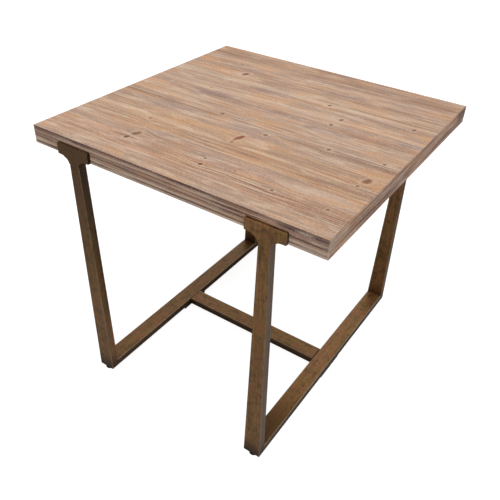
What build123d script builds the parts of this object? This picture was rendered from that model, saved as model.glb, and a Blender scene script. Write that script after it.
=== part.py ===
from build123d import *
from math import sqrt
import os

# Square bistro table: a planked wooden top with deep mitred edges on two U-shaped
# frames of tapered steel tube, tied together by a low stretcher.
# Millimetres, +Z up. The origin is on the floor, under the middle of the top.
# X runs along the planks, from the left frame to the right frame; -Y is the front.

# ---- driving dimensions ----
HEIGHT = 762.0
TOP_X = 812.0
TOP_Y = 800.0
EDGE_HEIGHT = 46.5
PANEL_THICKNESS = 18.0
EDGE_BOARD_THICKNESS = 18.0
STAVE_WIDTHS = (44, 60, 56, 48, 56, 68, 68, 76, 92, 68, 88, 76)  # front to back

BATTEN_WIDTH = 90.0
MIDDLE_BATTEN_WIDTH = 70.0

LEG_DEPTH = 24.0
LEG_WIDTH_TOP = 27.0
LEG_WIDTH_FOOT = 51.0
LEG_CENTRE_TOP = 268.5
LEG_CENTRE_FOOT = 265.5
FRAME_HALF_TOP = 408.5
FRAME_HALF_FOOT = 402.5
TUBE_WALL = 2.0
TUBE_CORNER = 3.0
RAIL_HEIGHT = 23.5
STRETCHER_WIDTH = 51.5
FLOOR_GAP = 10.0
MITRE_REACH = 2.0

T_PLATE_HALF_WIDTH = 50.5
T_PLATE_HEAD_HEIGHT = 29.5
T_PLATE_FILLET = 18.0
T_PLATE_CORNER = 2.5
T_PLATE_STEM = 11.0

BAR_WIDTH = 40.0
BAR_THICKNESS = 5.0
BAR_SCREW_SPACING = 140.0
BAR_SCREW_COUNT = 6
BAR_SCREW_LENGTH = 28.0
BAR_SCREW_RADIUS = 2.25
SCREW_HEAD_SCALE = 2.0
SCREW_HEAD_DEPTH = 1.1
SCREW_TIP_LENGTH = 2.0
SCREW_TIP_RADIUS = 0.4

BATTEN_SCREW_LENGTH = 40.0
BATTEN_SCREW_RADIUS = 2.0
BATTEN_SCREW_OFFSET = 30.0
MIDDLE_SCREW_OFFSET = 20.0

JUNCTION_THICKNESS = 4.5
JUNCTION_HALF_LENGTH = 55.0
JUNCTION_TONGUE = 51.0
JUNCTION_HALF_TONGUE = 19.0
JUNCTION_MARGIN = 1.0
JUNCTION_SCREW_SPREAD = 38.5
TONGUE_SCREW_SPREAD = 12.0
JUNCTION_SCREW_RADIUS = 3.0
JUNCTION_SCREW_LENGTH = 18.5
JUNCTION_NUT_RADIUS = 5.8
JUNCTION_NUT_HEIGHT = 6.0

FOOT_INSET_Y = 13.0
FOOT_PAD_RADIUS = 12.5
FOOT_PAD_CHAMFER = 2.0
FOOT_PAD_SOLE_ROUND = 1.2
FOOT_STEM_RADIUS = 4.0
FOOT_STEM_ROOT = 3.0
FOOT_STEM_LENGTH = 33.0
FOOT_STEM_CLEARANCE = 0.05
INSERT_RADIUS = 6.0
INSERT_LENGTH = 12.0
INSERT_FLANGE_RADIUS = 9.0
INSERT_FLANGE = 1.5
PAD_GAP = 0.3

# ---- derived levels and places ----
UNDERSIDE = HEIGHT - EDGE_HEIGHT
PANEL_BOTTOM = HEIGHT - PANEL_THICKNESS
INNER_X = TOP_X / 2 - EDGE_BOARD_THICKNESS
INNER_Y = TOP_Y / 2 - EDGE_BOARD_THICKNESS
LEG_TOP = UNDERSIDE - BAR_THICKNESS
PLATE_BACK = TOP_Y / 2
PLATE_THICKNESS = FRAME_HALF_TOP - PLATE_BACK
FOOT_Y = FRAME_HALF_FOOT - FOOT_INSET_Y
SIDES = {"left": -1, "right": 1}
ENDS = {"front": -1, "back": 1}

os.makedirs("parts", exist_ok=True)


def save(name, shape):
    export_step(shape, f"parts/{name}.step")


def block(x0, x1, y0, y1, z0, z1):
    """An axis-aligned box between two corners."""
    centre = Pos((x0 + x1) / 2, (y0 + y1) / 2, (z0 + z1) / 2)
    return centre * Box(x1 - x0, y1 - y0, z1 - z0)


def prism_x(points, x0, x1):
    """A (y, z) outline extruded along X."""
    face = make_face(Polyline(*[(x0, y, z) for y, z in points], close=True))
    return extrude(face, amount=x1 - x0, dir=(1, 0, 0))


def cylinder(x, y, z0, z1, radius):
    return Pos(x, y, (z0 + z1) / 2) * Cylinder(radius, z1 - z0)


def placed(shape, side, end):
    """A shape drawn at the front right, mirrored to another corner."""
    if side < 0:
        shape = mirror(shape, about=Plane.YZ)
    if end > 0:
        shape = mirror(shape, about=Plane.XZ)
    return shape


def countersunk_screw(x, y, z, radius, length):
    """A screw driven upward from z, with a countersunk head and a pointed tip."""
    head = radius * SCREW_HEAD_DEPTH
    tip = radius * SCREW_TIP_LENGTH
    cone = Pos(x, y, z + head / 2) * Cone(radius * SCREW_HEAD_SCALE, radius, head)
    shank = cylinder(x, y, z + head, z + length - tip, radius)
    point = Pos(x, y, z + length - tip / 2) * Cone(radius, SCREW_TIP_RADIUS, tip)
    return cone + shank + point


# ---- screws of the top: one per stave in each batten, and a row in each steel bar ----
def stave_edges():
    edges = [-TOP_Y / 2]
    for width in STAVE_WIDTHS:
        edges.append(edges[-1] + width)
    return edges


def batten_screw_rows():
    """Every batten screw, by batten."""
    edges = stave_edges()
    rows = {}
    for name, centre, offset in (
        ("left", -LEG_CENTRE_TOP, BATTEN_SCREW_OFFSET),
        ("middle", 0.0, MIDDLE_SCREW_OFFSET),
        ("right", LEG_CENTRE_TOP, BATTEN_SCREW_OFFSET),
    ):
        screws = []
        for i, (y0, y1) in enumerate(zip(edges, edges[1:])):
            y = (max(y0, -INNER_Y) + min(y1, INNER_Y)) / 2
            x = centre + (offset if i % 2 else -offset)
            screws.append(
                countersunk_screw(x, y, UNDERSIDE, BATTEN_SCREW_RADIUS, BATTEN_SCREW_LENGTH)
            )
        rows[name] = screws
    return rows


def bar_screw_row(side):
    first = -BAR_SCREW_SPACING * (BAR_SCREW_COUNT - 1) / 2
    screws = []
    for i in range(BAR_SCREW_COUNT):
        y = first + i * BAR_SCREW_SPACING
        x = side * LEG_CENTRE_TOP
        screws.append(countersunk_screw(x, y, LEG_TOP, BAR_SCREW_RADIUS, BAR_SCREW_LENGTH))
    return screws


# ---- wooden top ----
def top_frustum():
    """The panel's envelope: its edges are bevelled to meet the edge boards in a mitre."""
    upper = Pos(0, 0, HEIGHT) * Rectangle(TOP_X, TOP_Y)
    lower = Pos(0, 0, PANEL_BOTTOM) * Rectangle(2 * INNER_X, 2 * INNER_Y)
    return loft([lower, upper])


def make_staves(screws):
    envelope = top_frustum()
    edges = stave_edges()
    for i, (y0, y1) in enumerate(zip(edges, edges[1:])):
        stave = block(-TOP_X / 2, TOP_X / 2, y0, y1, PANEL_BOTTOM, HEIGHT) & envelope
        for row in screws.values():
            stave -= row[i]
        save(f"top_stave_{i + 1:02d}", stave)


def make_edge_boards():
    ring = block(-TOP_X / 2, TOP_X / 2, -TOP_Y / 2, TOP_Y / 2, UNDERSIDE, HEIGHT)
    ring -= block(-INNER_X, INNER_X, -INNER_Y, INNER_Y, UNDERSIDE, HEIGHT)
    ring -= top_frustum()
    x, y = TOP_X / 2, TOP_Y / 2
    outlines = {
        "front": [(-x, -y), (x, -y), (INNER_X, -INNER_Y), (-INNER_X, -INNER_Y)],
        "back": [(x, y), (-x, y), (-INNER_X, INNER_Y), (INNER_X, INNER_Y)],
        "left": [(-x, y), (-x, -y), (-INNER_X, -INNER_Y), (-INNER_X, INNER_Y)],
        "right": [(x, -y), (x, y), (INNER_X, INNER_Y), (INNER_X, -INNER_Y)],
    }
    for name, points in outlines.items():
        face = make_face(Polyline(*[(px, py, UNDERSIDE) for px, py in points], close=True))
        save(f"edge_board_{name}", ring & extrude(face, amount=EDGE_HEIGHT, dir=(0, 0, 1)))


def make_battens(batten_screws, bar_screws):
    for name, centre, width in (
        ("left", -LEG_CENTRE_TOP, BATTEN_WIDTH),
        ("middle", 0.0, MIDDLE_BATTEN_WIDTH),
        ("right", LEG_CENTRE_TOP, BATTEN_WIDTH),
    ):
        x0, x1 = centre - width / 2, centre + width / 2
        batten = block(x0, x1, -INNER_Y, INNER_Y, UNDERSIDE, PANEL_BOTTOM)
        for screw in batten_screws[name] + bar_screws.get(name, []):
            batten -= screw
        save(f"batten_{name}", batten)


# ---- steel frames ----
def mitre_prism(above):
    """Everything above or below the front mitre between a leg and its rail."""
    x0, x1 = 0.0, TOP_X / 2
    ya, za = -FRAME_HALF_FOOT, FLOOR_GAP
    dy, dz = LEG_DEPTH * MITRE_REACH, RAIL_HEIGHT * MITRE_REACH
    far = za + dz * 2 if above else za - dz * 2
    start = (ya - dy, za - dz)
    finish = (ya + dy, za + dz)
    return prism_x([start, finish, (finish[0], far), (start[0], far)], x0, x1)


def leg_section(z, shrink):
    """The leg's rounded cross-section at a height, drawn in by a wall thickness."""
    share = (z - FLOOR_GAP) / (UNDERSIDE - FLOOR_GAP)
    width = LEG_WIDTH_FOOT + (LEG_WIDTH_TOP - LEG_WIDTH_FOOT) * share
    x = LEG_CENTRE_FOOT + (LEG_CENTRE_TOP - LEG_CENTRE_FOOT) * share
    face_y = -FRAME_HALF_FOOT - (FRAME_HALF_TOP - FRAME_HALF_FOOT) * share
    outline = RectangleRounded(
        width - 2 * shrink, LEG_DEPTH - 2 * shrink, TUBE_CORNER - shrink
    )
    return Pos(x, face_y + LEG_DEPTH / 2, z) * outline


def front_right_leg():
    leg = loft([leg_section(FLOOR_GAP, 0), leg_section(LEG_TOP, 0)])
    leg -= loft([leg_section(FLOOR_GAP, TUBE_WALL), leg_section(LEG_TOP, TUBE_WALL)])
    leg -= mitre_prism(above=False)
    stem_foot = t_plate_levels()[0]
    x = LEG_CENTRE_TOP
    reach = LEG_WIDTH_FOOT
    leg -= block(x - reach, x + reach, -TOP_Y, -PLATE_BACK, stem_foot, HEIGHT)
    return leg


def t_plate_levels():
    """Heights of the stem's foot, the fillets' foot, the head's underside and its top."""
    head_bottom = UNDERSIDE
    fillet_bottom = head_bottom - T_PLATE_FILLET
    return fillet_bottom - T_PLATE_STEM, fillet_bottom, head_bottom, head_bottom + T_PLATE_HEAD_HEIGHT


def front_right_t_plate():
    """A T-shaped face plate whose arms sweep into the leg in two concave fillets."""
    stem_foot, fillet_bottom, head_bottom, head_top = t_plate_levels()
    half = LEG_WIDTH_TOP / 2
    arm = half + T_PLATE_FILLET
    wide = T_PLATE_HALF_WIDTH
    diagonal = T_PLATE_FILLET * (1 - sqrt(0.5))
    waist = (half + diagonal, head_bottom - diagonal)
    outline = [
        Line((-half, stem_foot), (half, stem_foot)),
        Line((half, stem_foot), (half, fillet_bottom)),
        ThreePointArc((half, fillet_bottom), waist, (arm, head_bottom)),
        Line((arm, head_bottom), (wide, head_bottom)),
        Line((wide, head_bottom), (wide, head_top)),
        Line((wide, head_top), (-wide, head_top)),
        Line((-wide, head_top), (-wide, head_bottom)),
        Line((-wide, head_bottom), (-arm, head_bottom)),
        ThreePointArc((-arm, head_bottom), (-waist[0], waist[1]), (-half, fillet_bottom)),
        Line((-half, fillet_bottom), (-half, stem_foot)),
    ]
    back = Plane((LEG_CENTRE_TOP, -PLATE_BACK, 0), x_dir=(1, 0, 0), z_dir=(0, -1, 0))
    plate = extrude(back * make_face(outline), amount=PLATE_THICKNESS)
    corners = [
        edge
        for edge in plate.edges().filter_by(Axis.Y)
        if abs(abs(edge.center().X - LEG_CENTRE_TOP) - wide) < 0.1
    ]
    return fillet(corners, T_PLATE_CORNER)


def tube_along_y(centre_x, width, half_length):
    """A horizontal rectangular tube at rail height, running along Y."""
    plane = Plane((centre_x, -half_length, FLOOR_GAP + RAIL_HEIGHT / 2), (1, 0, 0), (0, 1, 0))
    outer = extrude(plane * RectangleRounded(width, RAIL_HEIGHT, TUBE_CORNER), 2 * half_length)
    inner = extrude(
        plane
        * RectangleRounded(
            width - 2 * TUBE_WALL, RAIL_HEIGHT - 2 * TUBE_WALL, TUBE_CORNER - TUBE_WALL
        ),
        2 * half_length,
    )
    return outer - inner


def right_rail(screws):
    rail = tube_along_y(LEG_CENTRE_FOOT, LEG_WIDTH_FOOT, FRAME_HALF_FOOT)
    upper = mitre_prism(above=True)
    rail -= upper
    rail -= mirror(upper, about=Plane.XZ)
    floor_z = FLOOR_GAP + TUBE_WALL
    for end in ENDS.values():
        rail -= cylinder(LEG_CENTRE_FOOT, end * FOOT_Y, 0, floor_z + 1, INSERT_RADIUS)
    for screw in screws:
        rail -= screw
    return rail


def make_stretcher(screws):
    half_length = LEG_CENTRE_FOOT - LEG_WIDTH_FOOT / 2
    bar = tube_along_y(0, STRETCHER_WIDTH, half_length)
    bar = Rot(0, 0, 90) * bar
    for screw in screws:
        bar -= screw
    save("stretcher", bar)


def right_top_bar(screws):
    x = LEG_CENTRE_TOP
    half = BAR_WIDTH / 2
    bar = block(x - half, x + half, -PLATE_BACK, PLATE_BACK, LEG_TOP, UNDERSIDE)
    for screw in screws:
        bar -= screw
    return bar


# ---- knock-down joint between a rail and the stretcher ----
def junction_points():
    """Screw places on the right: two in the rail and two in the stretcher."""
    tongue_x = LEG_CENTRE_FOOT - LEG_WIDTH_FOOT / 2 - JUNCTION_TONGUE / 2
    return [
        (LEG_CENTRE_FOOT, -JUNCTION_SCREW_SPREAD),
        (LEG_CENTRE_FOOT, JUNCTION_SCREW_SPREAD),
        (tongue_x - TONGUE_SCREW_SPREAD, 0.0),
        (tongue_x + TONGUE_SCREW_SPREAD, 0.0),
    ]


def junction_screw(x, y):
    z = FLOOR_GAP - JUNCTION_THICKNESS
    return countersunk_screw(x, y, z, JUNCTION_SCREW_RADIUS, JUNCTION_SCREW_LENGTH)


def junction_nut(x, y):
    z = FLOOR_GAP + TUBE_WALL
    nut = extrude(Pos(x, y, z) * RegularPolygon(JUNCTION_NUT_RADIUS, 6), JUNCTION_NUT_HEIGHT)
    return nut - junction_screw(x, y)


def right_junction_plate(screws):
    """A flat T under the joint, its tongue along the stretcher."""
    x0 = LEG_CENTRE_FOOT - LEG_WIDTH_FOOT / 2
    x1 = x0 + LEG_WIDTH_FOOT - JUNCTION_MARGIN
    z0 = FLOOR_GAP - JUNCTION_THICKNESS
    half = JUNCTION_HALF_LENGTH
    plate = block(x0, x1, -half, half, z0, FLOOR_GAP)
    tongue = JUNCTION_HALF_TONGUE
    plate += block(x0 - JUNCTION_TONGUE, x0, -tongue, tongue, z0, FLOOR_GAP)
    for screw in screws:
        plate -= screw
    return plate


# ---- levelling feet ----
def front_right_insert():
    """A flanged bush pressed into the rail's underside, threaded for the foot."""
    x, y = LEG_CENTRE_FOOT, -FOOT_Y
    bush = cylinder(x, y, FLOOR_GAP, FLOOR_GAP + INSERT_LENGTH, INSERT_RADIUS)
    bush += cylinder(x, y, FLOOR_GAP - INSERT_FLANGE, FLOOR_GAP, INSERT_FLANGE_RADIUS)
    bore = FOOT_STEM_RADIUS + FOOT_STEM_CLEARANCE
    return bush - cylinder(x, y, 0, FLOOR_GAP + INSERT_LENGTH + 1, bore)


def front_right_pad():
    """A moulded glide: a flat sole with a rounded rim and a waist at the top."""
    x, y = LEG_CENTRE_FOOT, -FOOT_Y
    top = FLOOR_GAP - INSERT_FLANGE - PAD_GAP
    pad = cylinder(x, y, 0, top, FOOT_PAD_RADIUS)
    rims = pad.edges().filter_by(GeomType.CIRCLE).sort_by(Axis.Z)
    pad = chamfer(rims[-1], FOOT_PAD_CHAMFER)
    rims = pad.edges().filter_by(GeomType.CIRCLE).sort_by(Axis.Z)
    pad = fillet(rims[0], FOOT_PAD_SOLE_ROUND)
    return pad - front_right_stem()


def front_right_stem():
    """A threaded stud, moulded into the pad and standing in the insert."""
    x, y = LEG_CENTRE_FOOT, -FOOT_Y
    top = FOOT_STEM_ROOT + FOOT_STEM_LENGTH
    return cylinder(x, y, FOOT_STEM_ROOT, top, FOOT_STEM_RADIUS)


def main():
    batten_screws = batten_screw_rows()
    bar_screws = {name: bar_screw_row(side) for name, side in SIDES.items()}
    make_staves(batten_screws)
    make_edge_boards()
    make_battens(batten_screws, bar_screws)
    all_batten_screws = [screw for row in batten_screws.values() for screw in row]
    save("batten_screws", Compound(children=all_batten_screws))
    save("bar_screws", Compound(children=bar_screws["left"] + bar_screws["right"]))

    places = junction_points()
    right_screws = [junction_screw(x, y) for x, y in places]
    right_nuts = [junction_nut(x, y) for x, y in places]
    left_screws = [placed(screw, -1, -1) for screw in right_screws]
    left_nuts = [placed(nut, -1, -1) for nut in right_nuts]
    save("junction_screws", Compound(children=right_screws + left_screws))
    save("junction_nuts", Compound(children=right_nuts + left_nuts))
    make_stretcher(right_screws + left_screws)

    rail = right_rail(right_screws)
    bar = right_top_bar(bar_screws["right"])
    junction = right_junction_plate(right_screws)
    for name, side in SIDES.items():
        save(f"rail_{name}", placed(rail, side, -1))
        save(f"top_bar_{name}", placed(bar, side, -1))
        save(f"junction_plate_{name}", placed(junction, side, -1))

    leg = front_right_leg()
    t_plate = front_right_t_plate()
    pad = front_right_pad()
    stem = front_right_stem()
    insert = front_right_insert()
    inserts = []
    for end_name, end in ENDS.items():
        for side_name, side in SIDES.items():
            corner = f"{end_name}_{side_name}"
            save(f"leg_{corner}", placed(leg, side, end))
            save(f"t_plate_{corner}", placed(t_plate, side, end))
            save(f"foot_pad_{corner}", placed(pad, side, end))
            save(f"foot_stem_{corner}", placed(stem, side, end))
            inserts.append(placed(insert, side, end))
    save("foot_inserts", Compound(children=inserts))


main()
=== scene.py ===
import bmesh
import bpy
import math
from dataclasses import dataclass
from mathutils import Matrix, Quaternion, Vector, noise


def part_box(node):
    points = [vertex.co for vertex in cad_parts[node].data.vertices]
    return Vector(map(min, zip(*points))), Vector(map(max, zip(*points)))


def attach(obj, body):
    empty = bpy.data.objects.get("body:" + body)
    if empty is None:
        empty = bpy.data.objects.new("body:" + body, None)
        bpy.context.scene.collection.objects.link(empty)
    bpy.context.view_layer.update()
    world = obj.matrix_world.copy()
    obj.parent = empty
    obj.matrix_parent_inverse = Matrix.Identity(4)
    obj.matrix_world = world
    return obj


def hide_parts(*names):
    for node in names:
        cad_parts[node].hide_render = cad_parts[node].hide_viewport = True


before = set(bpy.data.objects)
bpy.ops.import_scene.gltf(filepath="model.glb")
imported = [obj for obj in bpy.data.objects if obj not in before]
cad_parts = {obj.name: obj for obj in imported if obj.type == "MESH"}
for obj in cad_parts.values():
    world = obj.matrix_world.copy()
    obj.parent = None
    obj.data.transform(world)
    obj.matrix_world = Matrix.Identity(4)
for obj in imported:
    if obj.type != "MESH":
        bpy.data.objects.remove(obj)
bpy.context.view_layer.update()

MM = 0.001
ROOT = "table"
SIDES = {"left": -1, "right": 1}
ENDS = {"front": -1, "back": 1}
STAVES = sorted(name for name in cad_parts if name.startswith("top_stave_"))

# ---- places read from the frame, in metres ----
TOP_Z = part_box(STAVES[0])[1].z
PANEL_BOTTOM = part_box(STAVES[0])[0].z
HALF_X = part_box("edge_board_right")[1].x
HALF_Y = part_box("edge_board_back")[1].y
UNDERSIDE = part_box("edge_board_front")[0].z
BOARD = TOP_Z - PANEL_BOTTOM
LEG_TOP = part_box("top_bar_right")[0].z
RAIL_LOW, RAIL_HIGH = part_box("rail_right")
T_LOW, T_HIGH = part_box("t_plate_front_right")
STRETCHER_LOW, STRETCHER_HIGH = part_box("stretcher")

# ---- sizes of the parts' own shapes ----
LEG_DEPTH = 24 * MM
LEG_WIDTH_TOP = 27 * MM
LEG_WIDTH_FOOT = RAIL_HIGH.x - RAIL_LOW.x
LEG_CENTRE_TOP = (T_LOW.x + T_HIGH.x) / 2
LEG_CENTRE_FOOT = (RAIL_LOW.x + RAIL_HIGH.x) / 2
FACE_TOP = -T_LOW.y
FACE_FOOT = RAIL_HIGH.y
T_HEAD_HEIGHT = 29.5 * MM
T_FILLET = 18 * MM
T_CORNER = 2.5 * MM
METAL_ROUND = 2.8 * MM
ARRIS = 1.4 * MM
JOINT_GROOVE_DEPTH = 0.6 * MM
JOINT_GROOVE_HALF_WIDTH = 0.96 * MM
PLANK_SWELL = 0.12 * MM
EDGE_RELIEF = 0.3 * MM
STRETCHER_SEAM = 1.6 * MM
EASED_WOOD = 0.8 * MM
EASED_BAR = 0.5 * MM
EASED_PLATE = 0.6 * MM


# ======== shader graphs ========
class Graph:
    """A material's node tree, with short calls for the nodes used here."""

    def __init__(self, name):
        self.material = bpy.data.materials.new(name)
        self.material.use_nodes = True
        self.tree = self.material.node_tree
        self.shader = self.tree.nodes["Principled BSDF"]

    def plug(self, socket, value):
        if isinstance(value, bpy.types.NodeSocket):
            self.tree.links.new(value, socket)
        else:
            socket.default_value = value

    def node(self, kind, inputs, **settings):
        made = self.tree.nodes.new(kind)
        for key, value in settings.items():
            setattr(made, key, value)
        for key, value in inputs.items():
            self.plug(made.inputs[key], value)
        return made

    def calc(self, operation, a, b=0.0):
        return self.node("ShaderNodeMath", {0: a, 1: b}, operation=operation).outputs[0]

    def add(self, a, b):
        return self.calc("ADD", a, b)

    def times(self, a, b):
        return self.calc("MULTIPLY", a, b)

    def minus(self, a, b):
        return self.calc("SUBTRACT", a, b)

    def span(self, value, low, high, to_low=0.0, to_high=1.0):
        """A smooth step of value from low..high to to_low..to_high."""
        inputs = {"Value": value, "From Min": low, "From Max": high}
        inputs.update({"To Min": to_low, "To Max": to_high})
        made = self.node("ShaderNodeMapRange", inputs, interpolation_type="SMOOTHSTEP")
        return made.outputs["Result"]

    def noise(self, vector, detail=3.0, roughness=0.5, scale=1.0):
        inputs = {"Vector": vector, "Scale": scale, "Detail": detail, "Roughness": roughness}
        return self.node("ShaderNodeTexNoise", inputs).outputs["Fac"]

    def mix(self, factor, a, b):
        """Colour a where factor is 0, and colour b where it is 1."""
        return self.node("ShaderNodeMix", {0: factor, 6: a, 7: b}, data_type="RGBA").outputs[2]

    def combine(self, x, y, z):
        return self.node("ShaderNodeCombineXYZ", {0: x, 1: y, 2: z}).outputs[0]

    def coordinates(self):
        """X, Y and Z in the row frame, in metres."""
        place = self.node("ShaderNodeTexCoord", {}).outputs["Object"]
        return tuple(self.node("ShaderNodeSeparateXYZ", {0: place}).outputs)

    def bump(self, height, distance, strength):
        inputs = {"Height": height, "Distance": distance, "Strength": strength}
        return self.node("ShaderNodeBump", inputs).outputs["Normal"]

    def finish(self, **sockets):
        for key, value in sockets.items():
            self.plug(self.shader.inputs[key.replace("_", " ")], value)
        return self.material


def rgb(red, green, blue):
    """A display colour, 0 to 255, as the linear colour that shaders take."""
    def linear(value):
        share = value / 255
        return share / 12.92 if share <= 0.04045 else ((share + 0.055) / 1.055) ** 2.4

    return (linear(red), linear(green), linear(blue), 1.0)


# ======== wood ========
SMOKE_TONE = rgb(160, 134, 126)
WARM_TONE = rgb(211, 158, 114)
BAND_TONE = rgb(142, 106, 88)
EDGE_BAND_TONE = rgb(80, 60, 65)
LATE_TONE = rgb(128, 90, 66)
EDGE_LATE_TONE = rgb(96, 68, 60)
LIME_TONE = rgb(230, 206, 182)
PORE_TONE = rgb(134, 100, 78)
KNOT_RING = rgb(214, 186, 158)
KNOT_RED = rgb(142, 76, 50)
KNOT_DARK = rgb(96, 58, 38)

LIGHT_TAN = rgb(210, 177, 150)
WARM_TAN = rgb(207, 170, 136)
PINK_TAN = rgb(208, 173, 148)
ROSE_TAN = rgb(210, 166, 138)
SHADE_TAN = rgb(172, 137, 112)
GREY_TAN = rgb(178, 147, 126)
RED_TAN = rgb(168, 128, 102)
EDGE_LIGHT = rgb(212, 172, 147)
EDGE_DARK = rgb(146, 108, 92)

SEED_STEP = 3.71
EDGE_SLACK = 0.06
PORE_FINENESS = 1500.0
TOP_FINENESS = 330.0
EDGE_FINENESS = 200.0
DUST_SCALE = 240
KNOT_PULL = 0.75
KNOT_SLANT = 0.25
KNOT_RAGGEDNESS = 2.4
GRAIN_RELIEF = 0.5 * MM
# A band's ends fade over this many millimetres, and clouds thin it down to this share.
TOP_BAND_FADE, TOP_BAND_THINNEST = 40, 0.35
EDGE_BAND_FADE, EDGE_BAND_THINNEST = 12, 0.65
# The two lines of a joint: (offset, half width) in millimetres, then share and tone.
JOINT_LINES = ((2.0, 3.4, 0.9, LIME_TONE), (-4.0, 3.0, 0.45, LATE_TONE))
# A board's end is weathered over its last few millimetres.
END_FROM, END_TO = 4 * MM, 1 * MM


@dataclass
class WoodLook:
    """The tones of one board, its joint lines, its bands and its knots, all in millimetres.

    A joint is (across, strength).
    A band is (across, half width, from, to, strength): dark, or limed if its strength is negative.
    A knot is (along, across, size, stretch, redness). reach is half the board's length, in metres.
    """

    seed: float
    light: tuple
    dark: tuple
    smoke: float = 0.4
    lines: float = 0.5
    joints: tuple = ()
    bands: tuple = ()
    knots: tuple = ()
    reach: float = 1.0
    edge: bool = False


class Fibres:
    """Coordinates that follow a board's fibres, and noises drawn out along them."""

    def __init__(self, g, look, grain):
        x, y, z = g.coordinates()
        directions = {"x": (x, y, z), "y": (y, x, z), "edge_x": (x, z, y), "edge_y": (y, z, x)}
        self.g = g
        self.along, self.across, self.depth = directions[grain]
        self.bent = self.across
        self.place = g.combine(x, y, z)
        self.shift = look.seed * SEED_STEP
        self.slack = EDGE_SLACK if look.edge else 1.0

    def wander(self):
        """Two slow drifts, so that lines are never quite straight. The sizes are in metres."""
        g = self.g
        for stretch, fineness, offset, detail, size in (
            (2.6, 9.0, self.shift, 2.0, 0.016),
            (0.9, 3.0, 4.0, 1.0, 0.03),
        ):
            along = g.add(g.times(self.along, stretch), self.shift)
            drift = g.noise(g.combine(along, g.times(self.across, fineness), offset), detail)
            self.bent = g.add(self.bent, g.times(g.minus(drift, 0.5), size * self.slack))

    def streaks(self, stretch, fineness, detail, offset, roughness=0.55):
        """Noise in long streaks that follow the bent fibres."""
        g = self.g
        place = g.combine(
            g.add(g.times(self.along, stretch), self.shift + offset),
            g.times(self.bent, fineness),
            g.add(g.times(self.depth, fineness), offset),
        )
        return g.noise(place, detail, roughness)

    def clouds(self, stretch, fineness, offset):
        """Noise in soft patches that ignore the fibres."""
        g = self.g
        along = g.add(g.times(self.along, stretch), self.shift)
        return g.noise(g.combine(along, g.times(self.across, fineness), offset), 3.0, 0.6)


def oval(g, u, v, half_u, half_v):
    """The squared distance from an oval's middle, 1 on its outline. Half sizes in millimetres."""
    share_u = g.calc("POWER", g.times(u, 1 / (half_u * MM)), 2.0)
    share_v = g.calc("POWER", g.times(v, 1 / (half_v * MM)), 2.0)
    return g.add(share_u, share_v)


def place_knots(g, fibres, knots):
    """Bends the fibres round each knot, and gives masks of the dark cores, red cores and rings."""
    ragged = g.noise(fibres.place, detail=2.0, scale=170)
    dark_mask, red_mask, ring_mask = 0.0, 0.0, 0.0
    for along, across, size, stretch, red in knots:
        u = g.minus(fibres.along, along * MM)
        v = g.minus(fibres.across, across * MM)
        reach = oval(g, u, v, size * 3.0, size * 1.7 * stretch)
        pull = g.times(g.calc("EXPONENT", g.times(reach, -1.0)), KNOT_PULL)
        fibres.bent = g.minus(fibres.bent, g.times(v, pull))
        slanted = g.minus(u, g.times(v, KNOT_SLANT))
        spot = oval(g, slanted, v, size * 0.6, size * 0.6 * stretch)
        spot = g.add(spot, g.times(g.minus(ragged, 0.5), KNOT_RAGGEDNESS))
        core = g.span(spot, 0.2, 1.9, 1.0, 0.0)
        ring = g.times(g.span(spot, 6.0, 2.0), g.span(spot, 0.9, 1.8))
        dark_mask = g.calc("MAXIMUM", dark_mask, g.times(core, 1.0 - red))
        red_mask = g.calc("MAXIMUM", red_mask, g.times(core, red))
        ring_mask = g.calc("MAXIMUM", ring_mask, ring)
    return dark_mask, red_mask, ring_mask


def ground_colour(g, fibres, look):
    """The board's two tones in streaks, with warm, smoked and limed patches over them."""
    tone = g.add(
        g.times(fibres.streaks(2.2, 34.0, 3.0, 0.0), 0.45),
        g.times(fibres.streaks(6.5, 130.0, 3.0, 7.0), 0.55),
    )
    colour = g.mix(g.span(tone, 0.4, 0.6), look.dark, look.light)
    colour = g.mix(g.span(fibres.clouds(6.0, 16.0, 2.0), 0.45, 0.62, 0.0, 0.65), colour, WARM_TONE)
    smoke = g.times(g.span(fibres.clouds(6.5, 24.0, 6.0), 0.46, 0.64), look.smoke)
    colour = g.mix(smoke, colour, SMOKE_TONE)
    lime = g.span(fibres.clouds(12.0, 42.0, 11.0), 0.52, 0.7, 0.0, 0.5)
    return g.mix(lime, colour, LIME_TONE)


def add_bands(g, fibres, look, colour):
    """Dark and limed bands along the fibres, each fading out at both ends."""
    fade, thinnest = TOP_BAND_FADE, TOP_BAND_THINNEST
    dark_tone = BAND_TONE
    if look.edge:
        fade, thinnest = EDGE_BAND_FADE, EDGE_BAND_THINNEST
        dark_tone = EDGE_BAND_TONE
    for across, width, first, last, strength in look.bands:
        from_middle = g.times(g.minus(fibres.bent, across * MM), 1 / (width * MM))
        band = g.calc("EXPONENT", g.times(g.calc("POWER", from_middle, 2.0), -1.0))
        band = g.times(band, g.span(fibres.along, (first - fade) * MM, (first + fade) * MM))
        band = g.times(band, g.span(fibres.along, (last + fade) * MM, (last - fade) * MM))
        band = g.times(band, g.span(fibres.clouds(8.0, 30.0, 19.0), 0.34, 0.6, thinnest, 1.0))
        tone = LIME_TONE if strength < 0 else dark_tone
        colour = g.mix(g.times(band, abs(strength)), colour, tone)
    return colour


def add_joints(g, fibres, look, colour):
    """A joint shows as a limed line with a dark one in front of it."""
    filled = g.span(fibres.clouds(7.0, 4.0, 27.0), 0.4, 0.62, 0.15, 1.0)
    for across, strength in look.joints:
        for offset, half_width, share, tone in JOINT_LINES:
            gap = g.calc("ABSOLUTE", g.minus(fibres.across, (across + offset) * MM))
            line = g.times(g.span(gap, half_width * MM, 0.3 * half_width * MM), filled)
            colour = g.mix(g.times(line, strength * share), colour, tone)
    return colour


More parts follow.
